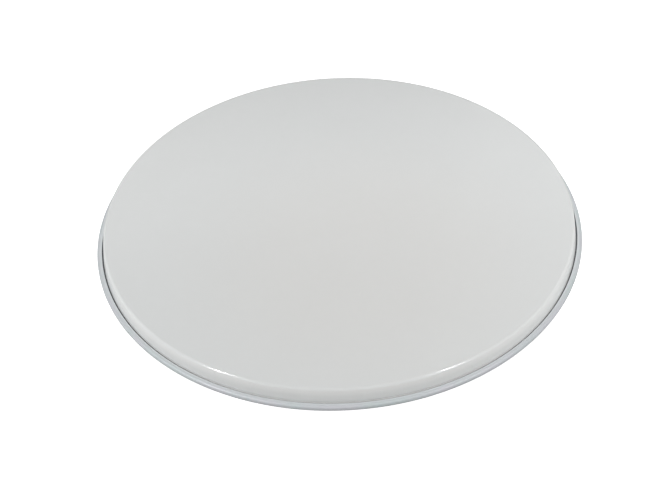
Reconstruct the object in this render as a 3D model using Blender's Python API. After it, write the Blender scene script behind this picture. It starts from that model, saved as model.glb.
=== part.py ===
"""A single-ply drum head: a formed film held by a cast resin bead in a roll-formed channel hoop.

The head lies as it does on a drum, playing surface up. Z is its axis of symmetry, the origin is the
centre of the hoop's underside, and the hoop's butt seam lies at the back, on +Y. Units are metres.
"""

import math

import bmesh
import bpy

# Hoop, a strip of sheet rolled to a channel that opens upwards
SHELL_DIAMETER = 0.3556  # outside of the drum shell that the head goes over
BORE_CLEARANCE = 0.0007  # hoop's bore to the shell, on the radius
CHANNEL_WIDTH = 0.0064  # hoop's bore to its outermost face
HOOP_HEIGHT = 0.0046  # underside to the ledge that a counterhoop presses
INNER_WALL_HEIGHT = 0.0038
SHEET = 0.0007
INNER_FOLD = 0.0009  # outside radius where the web turns up into the inner wall
OUTER_FOLD = 0.0019  # outside radius where the web turns up into the outer wall
UPRIGHT = 0.0005  # straight part of the outer wall, between its lower bend and the shoulder
SHOULDER_REACH = 0.0021  # how far the rounded shoulder draws in
LEDGE_WIDTH = 0.0018
SEAM_WIDTH = 0.0003  # butt seam between the strip's two ends

# Film, flat on top, with a collar that leans in and a flared edge that the resin locks
FILM = 0.00025
HEAD_HEIGHT = 0.0164  # hoop's underside to the playing surface
TONE_BEND = 0.0022  # outside radius between playing surface and collar
COLLAR_LEAN = math.radians(5.0)
LIP_GAP = 0.0009  # hoop's lip to the collar, at the ledge's height
FILM_END_HEIGHT = 0.0022
FLARE_RISE = 0.0007  # film's edge up to where the collar starts to flare
KNEE_BEND = 0.0010
FLARE = math.radians(40.0)  # from the vertical

# Resin bead and the strip that joins the hoop's ends
RESIN_TOP = 0.0030
BOND_GAP = 0.00015  # resin to what it grips
SPLICE_LENGTH = 0.0300
SPLICE_THICKNESS = 0.0005
SPLICE_SIDE_GAP = 0.0003

# Facets
SEGMENTS = 80
ARC_STEP = math.radians(22.5)
SHARP_ANGLE = math.radians(40.0)
WELD_DISTANCE = 1e-6

BORE_R = SHELL_DIAMETER / 2 + BORE_CLEARANCE
OUTER_R = BORE_R + CHANNEL_WIDTH
SHOULDER_BASE = OUTER_FOLD + UPRIGHT
SHOULDER_RISE = HOOP_HEIGHT - SHOULDER_BASE
LEDGE_R = OUTER_R - SHOULDER_REACH
LIP_R = LEDGE_R - LEDGE_WIDTH
COLLAR_R = LIP_R - LIP_GAP
WEB_TOP = SHEET
SPLICE_BASE = WEB_TOP + BOND_GAP
SEAM_AZIMUTH = math.pi / 2


def rounded(corners):
    """A path through corners (radius from the axis, height, bend radius), with each bend as an arc."""
    path = []
    for i, (r, z, bend) in enumerate(corners):
        if bend == 0:
            path.append((r, z))
            continue
        before, after = corners[i - 1], corners[i + 1]
        heading_in = math.atan2(z - before[1], r - before[0])
        heading_out = math.atan2(after[1] - z, after[0] - r)
        turn = math.remainder(heading_out - heading_in, math.tau)
        side = math.copysign(1.0, turn)
        back = bend * math.tan(abs(turn) / 2)
        start_r = r - back * math.cos(heading_in)
        start_z = z - back * math.sin(heading_in)
        centre_r = start_r - side * bend * math.sin(heading_in)
        centre_z = start_z + side * bend * math.cos(heading_in)
        steps = max(2, math.ceil(abs(turn) / ARC_STEP))
        for k in range(steps + 1):
            heading = heading_in + turn * k / steps
            path.append(
                (
                    centre_r + side * bend * math.sin(heading),
                    centre_z - side * bend * math.cos(heading),
                )
            )
    return path


def beside(path, distance):
    """The path moved sideways by distance, to its left where distance is positive."""
    headings = [
        math.atan2(b[1] - a[1], b[0] - a[0]) for a, b in zip(path, path[1:])
    ]
    moved = []
    for i, (r, z) in enumerate(path):
        first = headings[max(i - 1, 0)]
        last = headings[min(i, len(headings) - 1)]
        half_turn = math.remainder(last - first, math.tau) / 2
        heading = first + half_turn
        reach = distance / math.cos(half_turn)
        moved.append((r - reach * math.sin(heading), z + reach * math.cos(heading)))
    return moved


def below(path, height):
    """The stretch of a path that lies below a height, ended on that height."""
    kept = []
    for a, b in zip(path, path[1:]):
        if a[1] <= height:
            kept.append(a)
        if (a[1] - height) * (b[1] - height) < 0:
            share = (height - a[1]) / (b[1] - a[1])
            kept.append((a[0] + share * (b[0] - a[0]), height))
    if path[-1][1] <= height:
        kept.append(path[-1])
    return kept


def hoop_path():
    """The hoop's outside skin in section: down the bore, under the web, up and over to the lip."""
    path = rounded(
        [
            (BORE_R, INNER_WALL_HEIGHT, 0),
            (BORE_R, 0.0, INNER_FOLD),
            (OUTER_R, 0.0, OUTER_FOLD),
            (OUTER_R, SHOULDER_BASE, 0),
        ]
    )
    steps = math.ceil(math.pi / 2 / ARC_STEP)
    for k in range(1, steps + 1):
        angle = math.pi / 2 * k / steps
        path.append(
            (
                LEDGE_R + SHOULDER_REACH * math.cos(angle),
                SHOULDER_BASE + SHOULDER_RISE * math.sin(angle),
            )
        )
    path.append((LIP_R, HOOP_HEIGHT))
    return path


def film_path():
    """The film's upper and outer skin in section, from the axis to its flared edge."""
    crown_r = COLLAR_R - (HEAD_HEIGHT - HOOP_HEIGHT) * math.tan(COLLAR_LEAN)
    knee_z = FILM_END_HEIGHT + FLARE_RISE
    knee_r = COLLAR_R + (HOOP_HEIGHT - knee_z) * math.tan(COLLAR_LEAN)
    edge_r = knee_r + FLARE_RISE * math.tan(FLARE)
    return rounded(
        [
            (0.0, HEAD_HEIGHT, 0),
            (crown_r, HEAD_HEIGHT, TONE_BEND),
            (knee_r, knee_z, KNEE_BEND),
            (edge_r, FILM_END_HEIGHT, 0),
        ]
    )


def resin_outline():
    """The bead in section: it fills the channel to RESIN_TOP, with a slot for the film's edge."""
    channel = below(beside(hoop_path(), SHEET + BOND_GAP), RESIN_TOP)
    film = film_path()
    (before_r, before_z), (edge_r, edge_z) = film[-2:]
    stretch = BOND_GAP / math.hypot(edge_r - before_r, edge_z - before_z)
    past_edge = (
        edge_r + stretch * (edge_r - before_r),
        edge_z + stretch * (edge_z - before_z),
    )
    film = film[:-1] + [past_edge]
    slot_outer = below(beside(film, BOND_GAP), RESIN_TOP)
    slot_inner = below(beside(film, -FILM - BOND_GAP), RESIN_TOP)
    return channel + slot_outer + slot_inner[::-1]


def splice_outline(clearance=0.0):
    """The joining strip in section, flat on the web, or the pocket that leaves it a clearance."""
    inner_r = BORE_R + INNER_FOLD + SPLICE_SIDE_GAP - clearance
    outer_r = OUTER_R - OUTER_FOLD - SPLICE_SIDE_GAP + clearance
    low = SPLICE_BASE - clearance
    high = SPLICE_BASE + SPLICE_THICKNESS + clearance
    return [(inner_r, low), (outer_r, low), (outer_r, high), (inner_r, high)]


def finish(name, rgb, roughness, metallic):
    material = bpy.data.materials.new(name)
    material.use_nodes = True
    shader = material.node_tree.nodes["Principled BSDF"]
    shader.inputs["Base Color"].default_value = (*rgb, 1.0)
    shader.inputs["Roughness"].default_value = roughness
    shader.inputs["Metallic"].default_value = metallic
    return material


def turned(name, outline, closed, start=SEAM_AZIMUTH, sweep=math.tau):
    """An object made by turning an outline round Z from the azimuth start. closed joins its ends."""
    full = sweep == math.tau
    steps = SEGMENTS if full else max(2, math.ceil(SEGMENTS * sweep / math.tau))
    bm = bmesh.new()
    across = (math.cos(start), math.sin(start))
    points = [bm.verts.new((r * across[0], r * across[1], z)) for r, z in outline]
    edges = [bm.edges.new(pair) for pair in zip(points, points[1:])]
    if closed:
        edges.append(bm.edges.new((points[-1], points[0])))
    section = [bm.faces.new(points)] if not full else []
    bmesh.ops.spin(
        bm,
        geom=points + edges + section,
        cent=(0.0, 0.0, 0.0),
        axis=(0.0, 0.0, 1.0),
        angle=sweep,
        steps=steps,
        use_merge=full,
    )
    bmesh.ops.remove_doubles(bm, verts=bm.verts, dist=WELD_DISTANCE)
    bmesh.ops.recalc_face_normals(bm, faces=bm.faces)
    mesh = bpy.data.meshes.new(name)
    bm.to_mesh(mesh)
    bm.free()
    mesh.shade_smooth()
    mesh.set_sharp_from_angle(angle=SHARP_ANGLE)
    obj = bpy.data.objects.new(name, mesh)
    bpy.context.collection.objects.link(obj)
    return obj


def make_film():
    upper = film_path()
    outline = upper + beside(upper, -FILM)[::-1]
    film = turned("film", outline, closed=False)
    film.data.materials.append(finish("white_polyester", (0.66, 0.66, 0.65), 0.35, 0.0))
    return film


def make_hoop():
    outside = hoop_path()
    outline = outside + beside(outside, SHEET)[::-1]
    seam = SEAM_WIDTH / OUTER_R
    hoop = turned(
        "hoop", outline, closed=True, start=SEAM_AZIMUTH + seam / 2, sweep=math.tau - seam
    )
    hoop.data.materials.append(finish("aluminium", (0.60, 0.64, 0.65), 0.35, 1.0))
    return hoop


def make_splice():
    sweep = SPLICE_LENGTH / OUTER_R
    splice = turned(
        "splice_strip",
        splice_outline(),
        closed=True,
        start=SEAM_AZIMUTH - sweep / 2,
        sweep=sweep,
    )
    splice.data.materials.append(finish("steel_strip", (0.45, 0.46, 0.48), 0.45, 1.0))
    return splice


def make_resin():
    resin = turned("resin_bead", resin_outline(), closed=True)
    resin.data.materials.append(finish("cast_resin", (0.16, 0.16, 0.17), 0.40, 0.0))
    sweep = (SPLICE_LENGTH + 2 * SPLICE_SIDE_GAP) / OUTER_R
    pocket = turned(
        "splice_pocket",
        splice_outline(BOND_GAP),
        closed=True,
        start=SEAM_AZIMUTH - sweep / 2,
        sweep=sweep,
    )
    pocket.hide_render = True
    pocket.display_type = "WIRE"
    cut = resin.modifiers.new("splice_pocket", "BOOLEAN")
    cut.operation = "DIFFERENCE"
    cut.solver = "EXACT"
    cut.object = pocket
    return resin


def main():
    for obj in list(bpy.data.objects):
        bpy.data.objects.remove(obj, do_unlink=True)
    head = bpy.data.objects.new("drum_head", None)
    bpy.context.collection.objects.link(head)
    for piece in (make_hoop(), make_splice(), make_resin(), make_film()):
        piece.parent = head


main()
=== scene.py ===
# %% [markdown]
# # A drum head: one film, one hoop, and the resin that joins them
#
# A drum head looks simple, which makes it a good lesson in two things: thin sheet that is bent
# exactly, and finishes that stay quiet. It is a disc of white polyester film whose rim is pressed
# down into a collar, and a strip of aluminium rolled to a channel that holds the collar's edge in
# cast resin. Every piece is round, so every piece starts as a section and is turned about Z.
#
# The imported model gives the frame: the axis is Z, the hoop stands on Z = 0, and all lengths are
# metres. The pieces below are finer versions of its four nodes.

# %% Load the frame
import math

import bmesh
import bpy
from mathutils import Matrix, Vector


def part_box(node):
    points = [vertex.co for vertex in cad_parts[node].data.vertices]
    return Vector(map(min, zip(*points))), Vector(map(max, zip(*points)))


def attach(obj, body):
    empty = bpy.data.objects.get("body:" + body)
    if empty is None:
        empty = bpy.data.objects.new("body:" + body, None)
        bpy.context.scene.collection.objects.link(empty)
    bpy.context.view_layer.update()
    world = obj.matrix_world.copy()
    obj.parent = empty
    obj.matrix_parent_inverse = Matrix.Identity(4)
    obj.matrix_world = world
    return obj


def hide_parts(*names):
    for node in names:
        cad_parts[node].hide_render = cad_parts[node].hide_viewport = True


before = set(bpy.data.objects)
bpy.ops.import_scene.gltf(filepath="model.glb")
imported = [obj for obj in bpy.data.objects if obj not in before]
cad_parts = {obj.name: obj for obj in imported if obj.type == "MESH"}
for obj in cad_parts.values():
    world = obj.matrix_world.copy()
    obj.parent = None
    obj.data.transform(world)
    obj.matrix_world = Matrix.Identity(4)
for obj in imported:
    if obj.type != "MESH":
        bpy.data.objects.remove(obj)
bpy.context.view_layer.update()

print("nodes:", sorted(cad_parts))

# %% [markdown]
# ## Nodes that read as sums
#
# A finish is a little calculation: a bit of this noise, less of that near the edge. Written as
# node calls it is hard to follow, so a small class wraps a socket and gives it the usual
# operators. Adding or multiplying wrapped sockets adds the Math nodes behind the scenes.

# %% A socket that can be calculated with
class Signal:
    """A number or colour on its way through a node graph."""

    def __init__(self, graph, socket):
        self.graph = graph
        self.socket = socket

    def __add__(self, other):
        return self.graph.maths("ADD", self, other)

    def __sub__(self, other):
        return self.graph.maths("SUBTRACT", self, other)

    def __rsub__(self, other):
        return self.graph.maths("SUBTRACT", other, self)

    def __mul__(self, other):
        return self.graph.maths("MULTIPLY", self, other)

    __radd__ = __add__
    __rmul__ = __mul__


# %% [markdown]
# ## One method for every node
#
# All other nodes come from one method. It sets a node's own settings first, because some of them
# change which sockets there are, and then feeds the sockets with plain values or with links.
# The shorter methods under it name the few nodes that these finishes need again and again.

# %% A graph that is put together node by node
class Graph:
    """The nodes of one material or of the world."""

    def __init__(self, tree):
        self.tree = tree

    def node(self, kind, settings=(), inputs=(), output=0):
        made = self.tree.nodes.new(kind)
        for name, value in dict(settings).items():
            setattr(made, name, value)
        for key, value in dict(inputs).items():
            self.feed(made.inputs[key], value)
        return Signal(self, made.outputs[output])

    def feed(self, socket, value):
        if isinstance(value, Signal):
            self.tree.links.new(value.socket, socket)
        else:
            socket.default_value = value

    def maths(self, operation, *values):
        return self.node("ShaderNodeMath", {"operation": operation}, enumerate(values))

    def vector(self, operation, *values, output=0):
        return self.node(
            "ShaderNodeVectorMath", {"operation": operation}, enumerate(values), output
        )

    def noise(self, place, scale, detail=2.0):
        """Soft cloudy noise from 0 to 1. The scale is in clouds per metre."""
        return self.node(
            "ShaderNodeTexNoise",
            inputs={"Vector": place, "Scale": scale, "Detail": detail},
        )

    def rise(self, value, low, high):
        """0 up to low, 1 from high on, and smooth between them."""
        return self.node(
            "ShaderNodeMapRange",
            {"interpolation_type": "SMOOTHSTEP"},
            {"Value": value, "From Min": low, "From Max": high},
        )

    def mix(self, share, plain, other):
        """One colour turning into another as share goes from 0 to 1."""
        return self.node(
            "ShaderNodeMix", {"data_type": "RGBA"}, {0: share, 6: plain, 7: other}, output=2
        )

    def bump(self, height, distance=0.001):
        return self.node("ShaderNodeBump", inputs={"Height": height, "Distance": distance})

    def by_eye(self, seen, mirrored):
        """A brightness for what the camera sees, one for reflections, and 0 for all other rays."""
        rays = {
            name: self.node("ShaderNodeLightPath", output=f"Is {name} Ray")
            for name in ("Camera", "Glossy", "Transmission")
        }
        return seen * rays["Camera"] + mirrored * (rays["Glossy"] + rays["Transmission"])


class Finish(Graph):
    """A material, its shader, and the object coordinates that its patterns are laid out in."""

    def __init__(self, name, seen_colour):
        self.material = bpy.data.materials.new(name)
        self.material.use_nodes = True
        self.material.diffuse_color = (*seen_colour, 1.0)
        super().__init__(self.material.node_tree)
        self.shader = self.tree.nodes["Principled BSDF"]
        self.place = self.node("ShaderNodeTexCoord", output="Object")

    def surface(self, **inputs):
        """Feeds the shader: base_color=... sets its Base Color, and so on."""
        for name, value in inputs.items():
            title = name.replace("_", " ").title().replace("Ior", "IOR")
            self.feed(self.shader.inputs[title], value)
        return self.material


# %% [markdown]
# ## Where round a turned piece, and where across it
#
# Marks on turned and rolled parts run round them. Two numbers and a direction describe any point
# of such a part: its distance from the axis, its height, and the way it faces from the axis.
# The direction is kept as a vector, because an angle would jump from 360 to 0 degrees somewhere.

# %% Coordinates for a turned piece
def round_the_axis(finish):
    """(distance from the axis, height, direction from the axis) of the shaded point."""
    flat = finish.vector("MULTIPLY", finish.place, (1.0, 1.0, 0.0))
    radius = finish.vector("LENGTH", flat, output="Value")
    facing = finish.vector("NORMALIZE", flat)
    height = finish.node("ShaderNodeSeparateXYZ", inputs={0: finish.place}, output="Z")
    return radius, height, facing


def lined(finish, facing, across, round_scale, across_scale, detail=2.0):
    """Noise drawn out into lines: round_scale is per radian, across_scale per metre."""
    slow = finish.vector("MULTIPLY", facing, (round_scale,) * 3)
    quick = finish.node("ShaderNodeCombineXYZ", inputs={"Z": across * across_scale})
    return finish.noise(finish.vector("ADD", slow, quick), 1.0, detail)


# %% [markdown]
# ## Sections and turning
#
# A section is drawn as a chain of edges with sharp corners. Bevelling a corner's vertex turns it
# into an arc, and the bevel's offset is the length that the arc takes from each side. This is
# easier to steer than arcs worked out point by point. One spin about Z then makes the skin. Its
# doubled points at the start are merged, and only then do the normals get recalculated.

# %% Draw a section, round its corners, turn it
ROUND = 384  # steps in a full turn
WELD = 1e-7


def section(corners):
    """A chain of edges in the XZ plane. corners are (radius, height, arc offset, arc segments)."""
    bm = bmesh.new()
    points = [bm.verts.new((r, 0.0, z)) for r, z, _, _ in corners]
    for pair in zip(points, points[1:]):
        bm.edges.new(pair)
    for point, (_, _, offset, segments) in zip(points, corners):
        if offset:
            bmesh.ops.bevel(
                bm,
                geom=[point],
                offset=offset,
                offset_type="OFFSET",
                segments=segments,
                profile=0.5,
                affect="VERTICES",
                material=-1,
            )
    return bm


def turn(bm, start=0.0, sweep=math.tau):
    """Turns what is in the bmesh about Z, from the azimuth start."""
    full = sweep == math.tau
    bmesh.ops.rotate(bm, verts=bm.verts, matrix=Matrix.Rotation(start, 3, "Z"))
    bmesh.ops.spin(
        bm,
        geom=bm.verts[:] + bm.edges[:] + bm.faces[:],
        cent=(0.0, 0.0, 0.0),
        axis=(0.0, 0.0, 1.0),
        angle=sweep,
        steps=max(2, round(ROUND * sweep / math.tau)),
        use_merge=full,
    )
    bmesh.ops.remove_doubles(bm, verts=bm.verts, dist=WELD)
    bmesh.ops.recalc_face_normals(bm, faces=bm.faces)


# %% [markdown]
# ## From a skin to a sheet, and from a sheet to a piece
#
# Film and hoop are sheets, so they are turned as skins and solidified inwards, which keeps the
# thickness even round every bend. Cut edges of real sheet are never knife sharp. The edges that
# run round the piece are found by their angle and by lying level, and get a tiny bevel, which
# catches light where a sharp edge would vanish.

# %% Thicken, break the edges, and finish a piece
BROKEN_FROM = math.radians(50.0)  # corners at least this sharp get a tiny bevel
CREASE_FROM = math.radians(35.0)  # and at least this sharp stay a crease in the shading


def thicken(bm, thickness):
    """Gives the skin a wall on the side away from its normals, rims included."""
    bmesh.ops.solidify(bm, geom=bm.faces[:] + bm.edges[:] + bm.verts[:], thickness=thickness)


def break_edges(bm, width):
    """Bevels the sharp edges that run round the piece."""
    sharp = [
        e
        for e in bm.edges
        if e.is_manifold
        and e.calc_face_angle() > BROKEN_FROM
        and abs(e.verts[0].co.z - e.verts[1].co.z) < WELD
        and abs(e.verts[0].co.xy.length - e.verts[1].co.xy.length) < WELD
    ]
    bmesh.ops.bevel(
        bm,
        geom=sharp,
        offset=width,
        offset_type="OFFSET",
        segments=2,
        profile=0.5,
        affect="EDGES",
        material=-1,
        clamp_overlap=True,
    )


def piece(bm, name, node, material):
    """The finished object: smooth where it bends, sharp at its corners, in place of its node."""
    mesh = bpy.data.meshes.new(name)
    bm.to_mesh(mesh)
    bm.free()
    mesh.shade_smooth()
    mesh.set_sharp_from_angle(angle=CREASE_FROM)
    mesh.materials.append(material)
    made = bpy.data.objects.new(name, mesh)
    bpy.context.scene.collection.objects.link(made)
    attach(made, "root")
    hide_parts(node)
    low, high = (Vector(c) for c in (made.bound_box[0], made.bound_box[6]))
    mesh.calc_loop_triangles()
    print(
        f"{name}: {len(mesh.loop_triangles)} triangles, {1000 * 2 * high.x:.1f} mm across,",
        f"{1000 * low.z:.2f} to {1000 * high.z:.2f} mm high",
    )
    return made


# %% [markdown]
# ## The film's finish
#
# The film is polyester with white pigment in it: opaque, very even, and satin rather than glossy.
# What keeps it from looking like plain plastic is small. The white has faint clouds and a fine
# fleck of pigment, it is a trace warmer near the middle, and the pressed collar carries faint draw
# lines that run up and down. At the front, painted shade greys the collar a little toward the
# hoop, and below the bend painted light makes it whiter; the bend itself is burnished. All of it
# stays within a few percent, because a new head is clean. Just behind the hoop's ledge painted
# light makes the film whitest, and deeper in the hoop, just above the resin, painted shade makes
# it dark.

# %% White polyester
HEAD_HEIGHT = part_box("film")[1].z
OUTER_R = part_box("hoop")[1].x
BEND_R = 0.0022  # outside radius of the bend between playing surface and collar
HOOP_HEIGHT = 0.0046
RESIN_TOP = 0.0030

WARM_CENTRE = (0.020, -0.050, HEAD_HEIGHT)
WARM_WHITE = (0.612, 0.614, 0.602, 1.0), (0.654, 0.656, 0.645, 1.0)  # darkest and palest
COOL_WHITE = (0.603, 0.616, 0.612, 1.0), (0.645, 0.658, 0.654, 1.0)
# Painted light: the film behind the ledge and the collar below the bend are lifted toward this.
LIGHT_PAINT_WHITE = (0.900, 0.895, 0.880, 1.0)
# Painted shade: the collar's foot at the front is greyed toward this colour.
SHADE_PAINT_GREY = (0.300, 0.302, 0.306, 1.0)
# Painted shade: the film just above the resin is darkened toward this.
SHADE_PAINT_DARK = (0.055, 0.062, 0.075, 1.0)


def white_polyester():
    film = Finish("white_polyester", (0.66, 0.66, 0.65))
    _, height, facing = round_the_axis(film)
    cloud = film.noise(film.place, 17.0, 3.0)
    mottle = film.noise(film.place, 150.0)
    fleck = film.noise(film.place, 2300.0, 1.0)
    draw = lined(film, facing, height, 190.0, 45.0)
    below_top = HEAD_HEIGHT - height
    collar = film.rise(below_top, 0.5 * BEND_R, 1.5 * BEND_R)

    tone = 0.5 + 0.30 * (cloud - 0.5) + 0.25 * (mottle - 0.5) + 0.45 * (fleck - 0.5)
    tone = tone + 0.55 * collar * (draw - 0.5)
    off_centre = film.vector("DISTANCE", film.place, WARM_CENTRE, output="Value")
    to_rim = film.rise(off_centre, 0.25 * OUTER_R, 0.95 * OUTER_R)
    white = film.mix(to_rim, film.mix(tone, *WARM_WHITE), film.mix(tone, *COOL_WHITE))

    rubbed = film.noise(film.place, 42.0, 4.0)
    burnish = film.rise(below_top, 0.05 * BEND_R, 0.20 * BEND_R) * (
        1.0 - film.rise(below_top, BEND_R, 3.0 * BEND_R)
    )
    gloss_loss = 0.230 + 0.05 * (rubbed - 0.5) + 0.03 * (fleck - 0.5) - 0.07 * burnish

    skin = 0.0012 * fleck + 0.012 * film.noise(film.place, 22.0) + 0.006 * collar * draw

    above_resin = height - RESIN_TOP
    above_ledge = height - HOOP_HEIGHT
    to_front = film.vector("DOT_PRODUCT", facing, (0.0, -1.0, 0.0), output="Value")
    # Painted shade: greys the collar at the front toward the hoop.
    painted_collar_shade = film.rise(above_ledge, -0.0003, 0.0004) - film.rise(height, RESIN_TOP, HEAD_HEIGHT)
    painted_collar_shade = painted_collar_shade * film.rise(to_front, 0.15, 0.95)
    # Painted light: whitens the film just behind the ledge and the collar below the bend.
    painted_gap_light = film.rise(above_resin, 0.0005, 0.0009) - film.rise(above_ledge, -0.0001, 0.0003)
    painted_collar_light = film.rise(below_top, 0.0005, BEND_R) - film.rise(below_top, 0.0019, 0.0079)
    # Painted shade: darkens the film just above the resin, deep in the gap.
    painted_gap_shade = 1.0 - film.rise(above_resin, 0.0, 0.0006)
    white = film.mix(0.13 * painted_collar_shade, white, SHADE_PAINT_GREY)
    white = film.mix(0.8 * painted_gap_light + 0.26 * painted_collar_light, white, LIGHT_PAINT_WHITE)
    return film.surface(
        base_color=film.mix(0.8 * painted_gap_shade, white, SHADE_PAINT_DARK),
        roughness=gloss_loss,
        ior=1.57,
        normal=film.bump(skin),
    )


# %% [markdown]
# ## The film
#
# From the axis outwards the section runs level, bends down through 85 degrees, falls as a collar
# that leans in by 5, and flares at the knee towards the resin. A few rings on the level part keep
# its faces compact, and one close to the bend stops the bend's shading from bleeding inwards.

# %% Turn the film
FILM = 0.00025
CROWN_R = 0.17907  # where playing surface and collar would meet
KNEE = (0.18025, 0.0029)
FILM_EDGE = (0.18084, 0.0022)
COLLAR_STEEPNESS = math.radians(85.0)
LEVEL_RINGS = (0.0, 0.03, 0.06, 0.09, 0.12, 0.145, 0.165, 0.1762)


def make_film():
    bend = BEND_R * math.tan(COLLAR_STEEPNESS / 2)
    rings = [(r, HEAD_HEIGHT, 0, 0) for r in LEVEL_RINGS]
    bm = section(
        rings
        + [(CROWN_R, HEAD_HEIGHT, bend, 18), (*KNEE, 0.00032, 6), (*FILM_EDGE, 0, 0)]
    )
    turn(bm)
    thicken(bm, FILM)
    break_edges(bm, 0.00006)
    piece(bm, "drum_film", "film", white_polyester())


make_film()

# %% [markdown]
# ## The hoop's finish
#
# The hoop is bare aluminium strip as it comes off the rolls: a cool grey with faint patches that
# lean to lilac or green, and fine lines along the rolling direction, which here is round the hoop.
# Its thin oxide skin scatters light, so it is only half a mirror: matte, and nearly as pale as the
# film where it lies open to the sky. Painted light makes the ledge paler, the outer side is
# polished on the front left where hands hold it, painted shade darkens the underside, and painted
# shade in the channel's inside makes the gap beside the collar read as a clean dark line.

# %% Rolled aluminium
BORE_R = OUTER_R - 0.0064
HELD_SIDE = (-0.63, -0.78, 0.0)  # the way from the axis to where hands have polished the strip

GREEN_GREY = (0.405, 0.446, 0.450, 1.0), (0.484, 0.530, 0.535, 1.0)
LILAC_GREY = (0.436, 0.443, 0.468, 1.0), (0.516, 0.524, 0.552, 1.0)
# Painted light: the hoop's top ledge is lifted toward this paler grey.
LIGHT_PAINT_GREY = (0.608, 0.636, 0.648, 1.0), (0.686, 0.714, 0.727, 1.0)
# Painted shade: the channel's inside under the lip is darkened toward this.
CHANNEL_SHADE_PAINT = (0.055, 0.065, 0.082, 1.0)
# Painted shade: the hoop's underside is darkened toward this.
UNDERSIDE_SHADE_PAINT = (0.150, 0.150, 0.155, 1.0)


def rolled_aluminium():
    strip = Finish("rolled_aluminium", (0.60, 0.64, 0.65))
    radius, height, facing = round_the_axis(strip)
    across = height - radius
    lines = lined(strip, facing, across, 10.0, 5200.0)
    hairs = lined(strip, facing, across, 45.0, 17000.0, 1.0)
    patch = strip.noise(strip.place, 36.0, 2.0)
    grain = strip.noise(strip.place, 1700.0, 1.0)

    tone = 0.5 + 0.7 * (lines - 0.5) + 0.5 * (hairs - 0.5) + 0.3 * (grain - 0.5)
    green, lilac = strip.mix(tone, *GREEN_GREY), strip.mix(tone, *LILAC_GREY)
    rolled = strip.mix(strip.rise(patch, 0.35, 0.65), green, lilac)
    # Painted light: makes the hoop's top ledge paler.
    painted_ledge_light = strip.rise(height, HOOP_HEIGHT - 0.0016, HOOP_HEIGHT) * (
        1.0 - strip.rise(radius, OUTER_R - 0.0034, OUTER_R - 0.0010)
    )
    # Painted shade: darkens the hoop's underside, most at the floor.
    stain_and_painted_shade = 1.0 - strip.rise(height + 0.0004 * (patch - 0.5), 0.0002, 0.0013)
    clean = strip.mix(painted_ledge_light, rolled, strip.mix(tone, *LIGHT_PAINT_GREY))
    # Painted shade: darkens the channel's inside under the lip, so the gap reads dark.
    inside = strip.rise(HOOP_HEIGHT - height, 0.0002, 0.0006) * (
        strip.rise(radius, BORE_R + 0.0002, BORE_R + 0.0006)
        - strip.rise(radius, OUTER_R - 0.0016, OUTER_R - 0.0010)
    )
    clean = strip.mix(0.9 * inside, clean, CHANNEL_SHADE_PAINT)

    roughness = 0.60 + 0.14 * (lines - 0.5) + 0.10 * (grain - 0.5)
    relief = 0.0020 * lines + 0.0008 * hairs
    held = strip.vector("DOT_PRODUCT", facing, HELD_SIDE, output="Value")
    polish = strip.rise(held, 0.70, 0.88) * (
        1.0 - strip.rise(height, HOOP_HEIGHT - 0.0008, HOOP_HEIGHT - 0.0004)
    )
    return strip.surface(
        base_color=strip.mix(0.85 * stain_and_painted_shade, clean, UNDERSIDE_SHADE_PAINT),
        metallic=0.25,
        roughness=roughness,
        ior=1.45,
        coat_weight=0.05 + 0.90 * polish,
        coat_roughness=0.24,
        normal=strip.bump(relief),
    )


# %% [markdown]
# ## The hoop
#
# The hoop's outer skin goes down the bore, round under the web, up the outer side and over a
# rounded shoulder to a level ledge that ends in a free lip. The strip's two ends meet in a butt
# seam at the back. The sweep stops a hair short of a full turn there, and solidify closes the cut
# ends on its own.

# %% Turn the hoop
LIP_R = 0.1812
WALL_TOP = 0.0038  # of the inner wall
SHEET = 0.0007
INNER_FOLD = 0.0009
OUTER_FOLD = 0.0019
SHOULDER = 0.00215
SEAM = 0.0003 / OUTER_R  # as an angle
BACK = math.pi / 2


def make_hoop():
    bm = section(
        [
            (BORE_R, WALL_TOP, 0, 0),
            (BORE_R, 0.0, INNER_FOLD, 8),
            (OUTER_R, 0.0, OUTER_FOLD, 12),
            (OUTER_R, HOOP_HEIGHT, SHOULDER, 14),
            (LIP_R, HOOP_HEIGHT, 0, 0),
        ]
    )
    turn(bm, BACK + SEAM / 2, math.tau - SEAM)
    thicken(bm, SHEET)
    break_edges(bm, 0.00012)
    piece(bm, "channel_hoop", "hoop", rolled_aluminium())


make_hoop()

# %% [markdown]
# ## The resin bead
#
# The resin is poured into the upturned channel and sets round the film's edge. It is dark grey, so
# with the head on a table it only shows as the darkness in the gap, but it holds the head together.
# Its surface creeps up every wall that it wets, so both tops are shallow troughs. It is drawn as
# one closed section with a slot for the film, turned, and then cut for the splice strip.

# %% Cast resin
RESIN_GREY = (0.040, 0.045, 0.057, 1.0), (0.085, 0.091, 0.106, 1.0)
PIT_BLACK = (0.030, 0.031, 0.035, 1.0)


def cast_resin():
    resin = Finish("cast_resin", (0.16, 0.16, 0.17))
    cloud = resin.noise(resin.place, 60.0, 3.0)
    fleck = resin.noise(resin.place, 900.0, 2.0)
    bubble = resin.node(
        "ShaderNodeTexVoronoi", {"feature": "F1"}, {"Vector": resin.place, "Scale": 1400.0}
    )
    pit = 1.0 - resin.rise(bubble, 0.10, 0.28)
    tone = 0.5 + 0.8 * (cloud - 0.5) + 0.4 * (fleck - 0.5)
    grey = resin.mix(tone, *RESIN_GREY)
    return resin.surface(
        base_color=resin.mix(0.5 * pit, grey, PIT_BLACK),
        roughness=0.30 + 0.25 * (fleck - 0.5) + 0.15 * pit,
        ior=1.55,
        normal=resin.bump(0.02 * cloud - 0.03 * pit),
    )


# %% Turn the bead
BOND = 0.00015  # resin to what it grips
TROUGH = 0.00012  # how far the resin's top sinks between hoop and film
INNER_TROUGH = 0.00006


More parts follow.
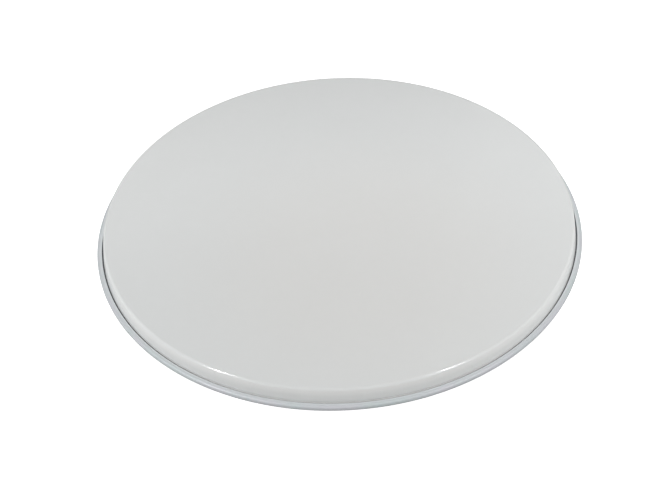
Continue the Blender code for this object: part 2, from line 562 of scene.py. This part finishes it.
def beside(chain, aside):
    """A chain of (radius, height) points, moved aside to its left with its corners kept mitred."""
    points = [Vector(p) for p in chain]
    ways = [(b - a).normalized() for a, b in zip(points, points[1:])]
    lefts = [Vector((-way.y, way.x)) for way in ways]
    moved = []
    for i, point in enumerate(points):
        one, other = lefts[max(i - 1, 0)], lefts[min(i, len(lefts) - 1)]
        moved.append(point + aside * (one + other) / (1.0 + one.dot(other)))
    return moved


def make_bead():
    inner, outer = BORE_R + SHEET + BOND, OUTER_R - SHEET - BOND
    bottom = SHEET + BOND
    edge, knee = Vector(FILM_EDGE), Vector(KNEE)
    rise = Vector((CROWN_R, HEAD_HEIGHT)) - knee
    top = knee + rise * ((RESIN_TOP - knee.y) / rise.y)
    past = edge + (edge - knee).normalized() * BOND
    outside = beside((top, knee, past), BOND)
    inside = beside((top, knee, past), -FILM - BOND)
    bm = section(
        [
            (inner, RESIN_TOP, 0, 0),
            (inner, bottom, 0.0001, 3),
            (outer, bottom, 0.0010, 8),
            (outer, RESIN_TOP, 0, 0),
            ((outer + outside[0].x) / 2, RESIN_TOP - TROUGH, 0.0006, 8),
            (outside[0].x, RESIN_TOP, 0, 0),
            (*outside[1], 0.00008, 3),
            (*outside[2], 0, 0),
            (*inside[2], 0, 0),
            (*inside[1], 0.00008, 3),
            (inside[0].x, RESIN_TOP, 0, 0),
            ((inner + inside[0].x) / 2, RESIN_TOP - INNER_TROUGH, 0.0001, 4),
            (inner, RESIN_TOP, 0, 0),
        ]
    )
    turn(bm, BACK)
    bead = piece(bm, "resin_ring", "resin_bead", cast_resin())
    print("open edges on the bead:", open_edges(bead))
    return bead


def open_edges(made):
    """How many edges don't have exactly two faces."""
    bm = bmesh.new()
    bm.from_mesh(made.data)
    count = sum(not e.is_manifold for e in bm.edges)
    bm.free()
    return count


bead = make_bead()

# %% [markdown]
# ## The splice strip
#
# A short steel strip lies in the channel and bridges the seam. The resin buries it. It is turned
# from a closed rectangle over a few degrees only. The same rectangle, a little larger, makes the
# cutter for its pocket in the resin. The cut is applied at once, so no cutter stays in the scene.

# %% Steel strip
STEEL_GREY = (0.40, 0.41, 0.43, 1.0), (0.51, 0.52, 0.54, 1.0)
STEEL_STAIN = (0.30, 0.28, 0.27, 1.0)


def rolled_steel():
    steel = Finish("rolled_steel", (0.45, 0.46, 0.48))
    radius, height, facing = round_the_axis(steel)
    lines = lined(steel, facing, height - radius, 30.0, 6000.0)
    stain_and_painted_shade = steel.noise(steel.place, 220.0, 3.0)
    tone = 0.5 + 0.9 * (lines - 0.5)
    clean = steel.mix(tone, *STEEL_GREY)
    return steel.surface(
        base_color=steel.mix(0.4 * steel.rise(stain_and_painted_shade, 0.45, 0.7), clean, STEEL_STAIN),
        metallic=1.0,
        roughness=0.38 + 0.25 * (lines - 0.5) + 0.15 * (stain_and_painted_shade - 0.5),
        normal=steel.bump(0.0020 * lines),
    )


# %% Make the strip and cut its pocket
SPLICE_LENGTH = 0.0300
SPLICE_THICKNESS = 0.0005
SPLICE_SIDE_GAP = 0.0003
SPLICE_BASE = SHEET + BOND
SPLICE_TOP = SPLICE_BASE + SPLICE_THICKNESS
SPLICE_INNER = BORE_R + INNER_FOLD + SPLICE_SIDE_GAP
SPLICE_OUTER = OUTER_R - OUTER_FOLD - SPLICE_SIDE_GAP


def strip_block(grow):
    """The strip as a closed block, or its pocket where grow is above 0."""
    bm = section(
        [
            (SPLICE_INNER - grow, SPLICE_BASE - grow, 0, 0),
            (SPLICE_OUTER + grow, SPLICE_BASE - grow, 0, 0),
            (SPLICE_OUTER + grow, SPLICE_TOP + grow, 0, 0),
            (SPLICE_INNER - grow, SPLICE_TOP + grow, 0, 0),
        ]
    )
    bmesh.ops.contextual_create(bm, geom=bm.verts[:])
    sweep = (SPLICE_LENGTH + 4 * grow) / OUTER_R
    turn(bm, BACK - sweep / 2, sweep)
    return bm


strip_bm = strip_block(0.0)
break_edges(strip_bm, 0.00006)
splice = piece(strip_bm, "splice_strip_steel", "splice_strip", rolled_steel())
print("open edges on the strip:", open_edges(splice))


def cut_pocket(bead):
    """Takes the strip's place, with room for the bond, out of the bead."""
    mesh = bpy.data.meshes.new("pocket")
    bm = strip_block(BOND)
    bm.to_mesh(mesh)
    bm.free()
    pocket = bpy.data.objects.new("pocket", mesh)
    bpy.context.scene.collection.objects.link(pocket)
    cut = bead.modifiers.new("pocket", "BOOLEAN")
    cut.operation, cut.solver, cut.object = "DIFFERENCE", "EXACT", pocket
    seen = bead.evaluated_get(bpy.context.evaluated_depsgraph_get())
    carved = bpy.data.meshes.new_from_object(seen)
    bead.modifiers.remove(cut)
    bead.data = carved
    bpy.data.objects.remove(pocket, do_unlink=True)
    bpy.data.meshes.remove(mesh)


faces_before = len(bead.data.polygons)
cut_pocket(bead)
print("bead faces:", faces_before, "then", len(bead.data.polygons), "open edges:", open_edges(bead))


# %% [markdown]
# ## The floor
#
# The head lies on a white sweep. The floor is a plain pale diffuse, so it takes the head's shadow.
# To the camera, and to what metal and gloss reflect, a little glow is added on top, which lifts
# the open floor to white and leaves only the darkest part of the shadow, close to the hoop.

# %% A white floor that keeps the contact shadow
CAMERA_GLOW = 0.77
MIRROR_GLOW = 0.05
FLOOR_HALF = 4.0
FLOOR_DROP = 0.00002  # keeps the floor's face clear of the hoop's


def white_floor():
    floor = Finish("white_floor", (0.85, 0.85, 0.85))
    paper = floor.noise(floor.place, 350.0, 2.0)
    glow = floor.by_eye(CAMERA_GLOW, MIRROR_GLOW)
    floor.surface(
        base_color=floor.mix(paper, (0.59, 0.59, 0.59, 1.0), (0.61, 0.61, 0.61, 1.0)),
        roughness=0.9,
        specular_ior_level=0.0,
        emission_color=floor.node(
            "ShaderNodeCombineColor", inputs={"Red": glow, "Green": glow, "Blue": glow}
        ),
        emission_strength=1.0,
    )
    return floor.material


bm = bmesh.new()
bmesh.ops.create_grid(bm, x_segments=1, y_segments=1, size=FLOOR_HALF)
bmesh.ops.translate(bm, verts=bm.verts, vec=(0.0, 0.0, -FLOOR_DROP))
floor_mesh = bpy.data.meshes.new("floor")
bm.to_mesh(floor_mesh)
bm.free()
floor_mesh.materials.append(white_floor())
floor = bpy.data.objects.new("floor", floor_mesh)
bpy.context.scene.collection.objects.link(floor)

# %% [markdown]
# ## The room
#
# A soft even room light does a good third of the work. As with the floor, the room looks white to
# the camera and in reflections, whatever light it gives. The Light Path node tells the kinds of
# rays apart, so one background serves all three.

# %% Light the room
ROOM_LIGHT = 0.39
ROOM_IN_GLOSS = 1.0

world = bpy.data.worlds.new("room")
world.use_nodes = True
bpy.context.scene.world = world
room = Graph(world.node_tree)
looks = room.by_eye(1.0 - ROOM_LIGHT, ROOM_IN_GLOSS - ROOM_LIGHT)
background = room.tree.nodes["Background"]
background.inputs["Color"].default_value = (1.0, 1.0, 1.0, 1.0)
room.feed(background.inputs["Strength"], ROOM_LIGHT + looks)

# %% [markdown]
# ## The lamps
#
# Product shots like this one are lit by tall soft lamps at both sides. Here the jobs are split,
# which makes each one easy to set. Fill lamps only light: a large one in front stands higher than
# the camera and reaches into the gap at the front, two low ones at the sides lift the collar
# there and leave its front darker, and two near the front corners blend between them. Shine lamps
# only show in gloss: two narrow ones each draw a short bright arc on the film's bend, and a long
# low one behind the head lies as a faint sheen across the middle of the field. Two plain lamps,
# above and behind to the right, do both.

# %% Place the lamps
# azimuth (0 is the right, 90 the front), elevation, distance, width, height, glow
PLAIN = {
    "above": (90.0, 89.9, 1.5, 1.0, 1.0, 0.35),
    "behind_right": (315.0, 35.0, 1.4, 0.8, 0.8, 0.55),
}
FILL = {
    "fill_front": (90.0, 55.0, 3.5, 1.6, 1.6, 5.2),
    "fill_front_right": (42.0, 28.0, 0.8, 0.4, 0.4, 1.7),
    "fill_front_left": (135.0, 28.0, 0.8, 0.4, 0.4, 1.5),
    "fill_low_right": (0.0, 8.0, 0.8, 0.4, 0.2, 6.9),
    "fill_low_left": (180.0, 8.0, 0.8, 0.4, 0.2, 8.0),
}
SHINE = {
    "arc_right": (42.7, 41.0, 1.56, 0.12, 0.5, 43.0),
    "arc_left": (149.8, 39.5, 1.56, 0.11, 0.5, 59.0),
    "sheen": (270.0, 38.7, 1.5, 1.2, 0.12, 3.2),
    "sheen_right": (286.0, 41.0, 1.5, 0.25, 0.6, 0.64),
}


def soft_lamp(name, azimuth, elevation, distance, wide, tall, glow):
    """A flat soft lamp that faces the head. Its glow is how bright it looks."""
    light = bpy.data.lights.new(name, "AREA")
    light.shape = "RECTANGLE"
    light.size, light.size_y = wide, tall
    light.energy = glow * math.pi * wide * tall
    made = bpy.data.objects.new(name, light)
    bpy.context.scene.collection.objects.link(made)
    turned, raised = math.radians(azimuth), math.radians(elevation)
    level = math.cos(raised)
    made.location = distance * Vector(
        (level * math.cos(turned), -level * math.sin(turned), math.sin(raised))
    )
    made.rotation_euler = (-made.location).to_track_quat("-Z", "Y").to_euler()
    made.visible_camera = False
    return made


for lamp, values in PLAIN.items():
    soft_lamp(lamp, *values)
for lamp, values in FILL.items():
    soft_lamp(lamp, *values).visible_glossy = False
for lamp, values in SHINE.items():
    soft_lamp(lamp, *values).visible_diffuse = False
print("lamps:", *PLAIN, *FILL, *SHINE)

# %% [markdown]
# ## The camera
#
# A long lens from about 42 degrees above, five hoop widths away. The camera is turned by about
# 3 degrees about its own axis, so the head's right side sits a little higher. It looks past the
# hoop's centre by a small step right and up, which frames the head as it should be.

# %% Place the camera
DISTANCE = 1.845
ELEVATION = math.radians(41.91)
ROLL = math.radians(-3.14)
STEP_RIGHT, STEP_UP = 0.00555345, 0.00806265
LENS = 130.55

right = Vector((1.0, 0.0, 0.0))
up = Vector((0.0, math.sin(ELEVATION), math.cos(ELEVATION)))
ahead = Vector((0.0, math.cos(ELEVATION), -math.sin(ELEVATION)))
turned_right = math.cos(ROLL) * right + math.sin(ROLL) * up
turned_up = -math.sin(ROLL) * right + math.cos(ROLL) * up

camera_data = bpy.data.cameras.new("camera")
camera_data.lens = LENS
camera_data.sensor_width = 36.0
camera_data.clip_start, camera_data.clip_end = 0.05, 20.0
camera = bpy.data.objects.new("camera", camera_data)
bpy.context.scene.collection.objects.link(camera)
camera.matrix_world = Matrix.Translation(
    -DISTANCE * ahead - STEP_RIGHT * right - STEP_UP * up
) @ Matrix((turned_right, turned_up, -ahead)).transposed().to_4x4()
bpy.context.scene.camera = camera
bpy.context.scene.view_settings.view_transform = "Standard"
